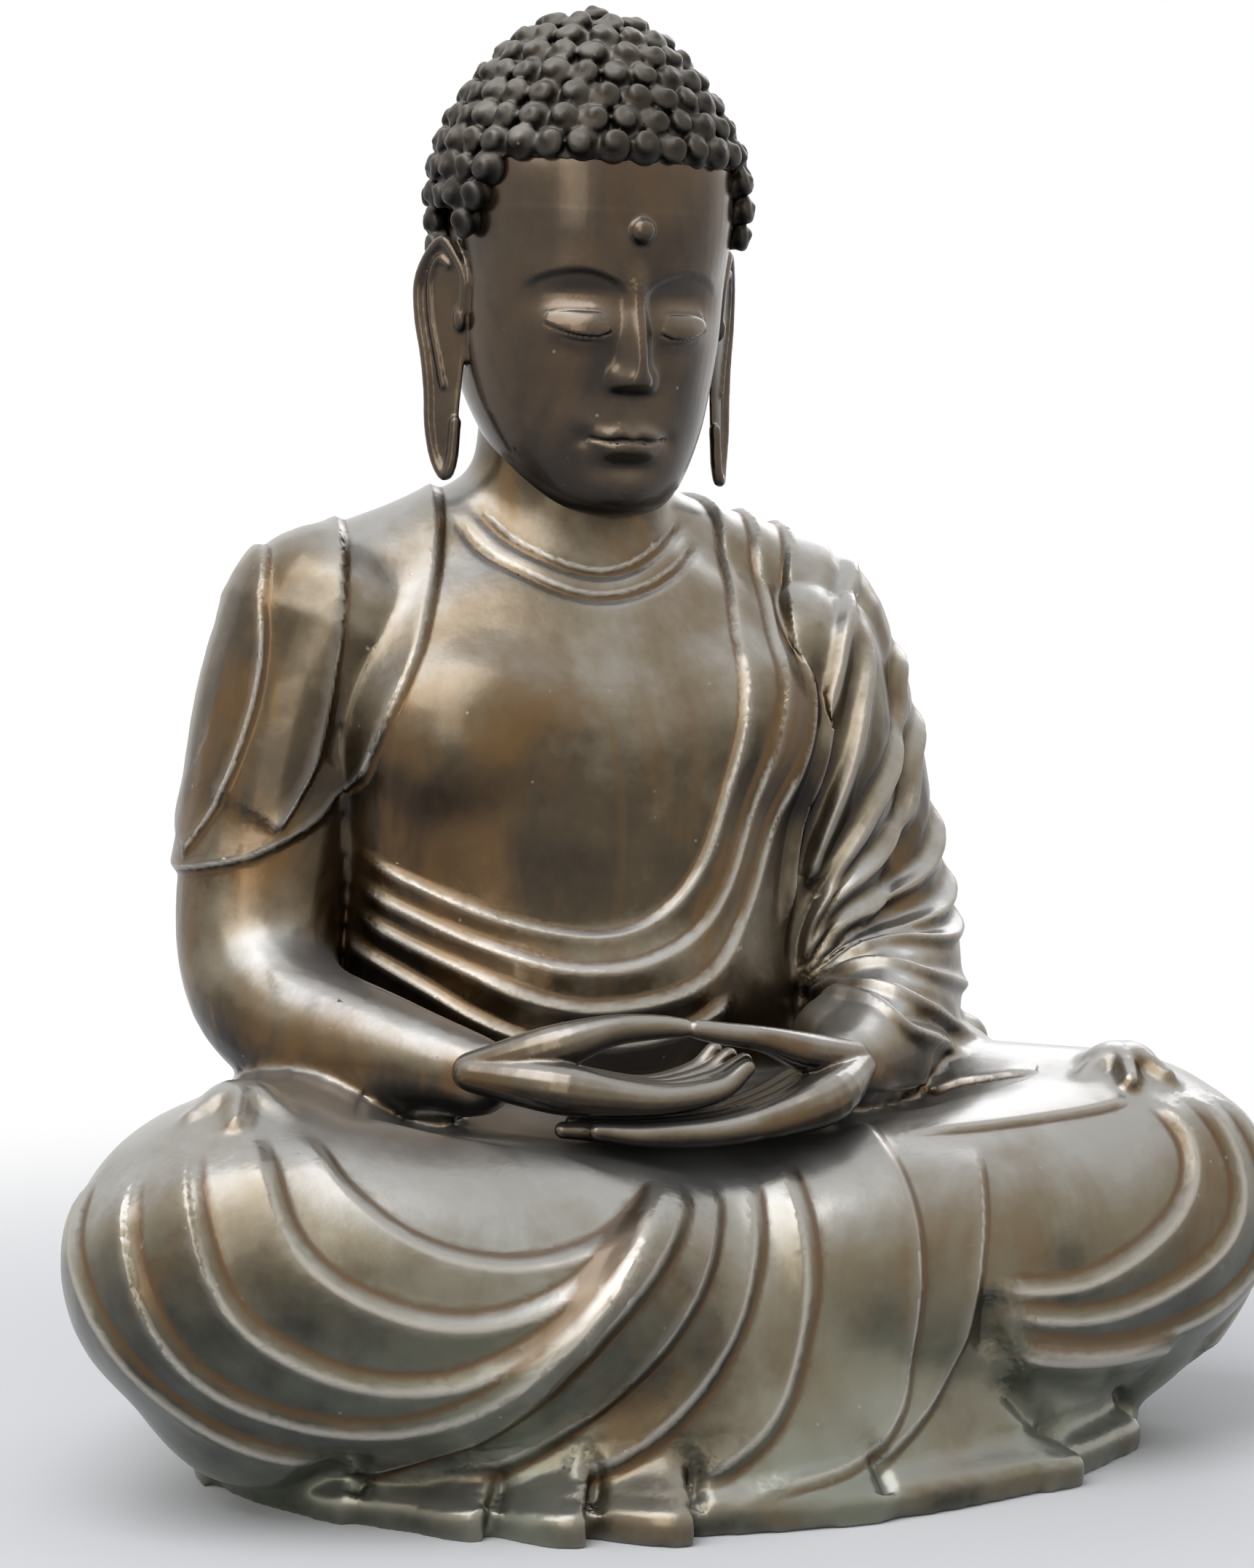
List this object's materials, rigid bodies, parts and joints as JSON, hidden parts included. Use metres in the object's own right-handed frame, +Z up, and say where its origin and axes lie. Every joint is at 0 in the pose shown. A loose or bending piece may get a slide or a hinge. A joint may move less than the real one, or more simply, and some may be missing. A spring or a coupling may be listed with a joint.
{
  "type": "seated buddha statue",
  "caption": "Hollow cast bronze figure seated cross-legged, hands joined in the lap, in a folded robe, with rows of snail curls on the head.",
  "frame": {"origin": "on the ground, under the middle of the whole figure", "axes": "+Z up, the figure faces -Y and its own right hand side is -X"},
  "size_m": [1.2066, 0.7982, 1.4096],
  "materials": {
    "cast_bronze": "dark brown patina, polished by hand, with dust in the creases"
  },
  "bodies": {
    "root": {"seated_figure": "cast_bronze"}
  },
  "joints": []
}
